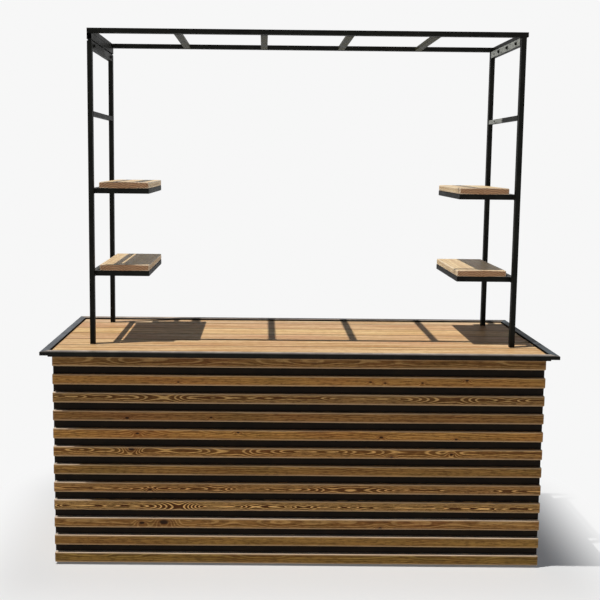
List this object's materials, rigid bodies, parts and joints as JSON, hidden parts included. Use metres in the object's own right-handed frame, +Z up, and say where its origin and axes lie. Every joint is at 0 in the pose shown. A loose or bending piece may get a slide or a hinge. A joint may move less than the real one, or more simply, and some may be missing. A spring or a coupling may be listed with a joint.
{
  "type": "market stall",
  "caption": "Wooden market stall: a slatted counter with a boarded, steel-edged worktop, two steel side frames with small shelves and an open roof frame.",
  "frame": {"origin": "on the ground under the middle of the worktop, which is the middle of the bounding box in plan", "axes": "+X along the counter to the customer's right, -Y towards the customer who faces the slatted front, +Z up"},
  "size_m": [2.1, 0.6, 2.23],
  "materials": {
    "worktop_wood": "oiled softwood, fine lengthwise grain",
    "shelf_wood": "oiled softwood",
    "slat_wood": "brown stained softwood with knots, satin",
    "backing_board": "black painted board, matt",
    "black_steel": "black paint, satin",
    "edging_steel": "black paint, satin, worn smooth on top"
  },
  "bodies": {
    "root": {"counter_bottom_rail_front": "black_steel", "counter_bottom_rail_left": "black_steel", "counter_bottom_rail_right": "black_steel", "counter_leg_front_left": "black_steel", "counter_leg_front_right": "black_steel", "counter_leg_rear_left": "black_steel", "counter_leg_rear_right": "black_steel", "counter_top_rail_front": "black_steel", "counter_top_rail_rear": "black_steel", "edging_front": "edging_steel", "edging_left": "edging_steel", "edging_rear": "edging_steel", "edging_right": "edging_steel", "front_backing_board": "backing_board", "front_slats": "slat_wood", "left_backing_board": "backing_board", "left_slats": "slat_wood", "right_backing_board": "backing_board", "right_slats": "slat_wood", "riser_spigots_left": "black_steel", "roof_crossbar_1": "black_steel", "roof_crossbar_2": "black_steel", "roof_crossbar_3": "black_steel", "roof_crossbar_4": "black_steel", "roof_end_left": "black_steel", "roof_end_right": "black_steel", "roof_riser_left": "black_steel", "roof_tube_front": "black_steel", "roof_tube_rear": "black_steel", "shelf_board_left_lower": "shelf_wood", "shelf_board_left_upper": "shelf_wood", "shelf_board_right_lower": "shelf_wood", "shelf_board_right_upper": "shelf_wood", "shelf_frame_left_lower": "black_steel", "shelf_frame_left_upper": "black_steel", "shelf_frame_right_lower": "black_steel", "shelf_frame_right_upper": "black_steel", "side_cross_tie_left": "black_steel", "side_cross_tie_right": "black_steel", "side_post_front_left": "black_steel", "side_post_front_right": "black_steel", "side_post_rear_left": "black_steel", "side_post_rear_right": "black_steel", "side_top_rail_left": "black_steel", "side_top_rail_right": "black_steel", "worktop_base": "black_steel", "worktop_boards": "worktop_wood"}
  },
  "joints": []
}
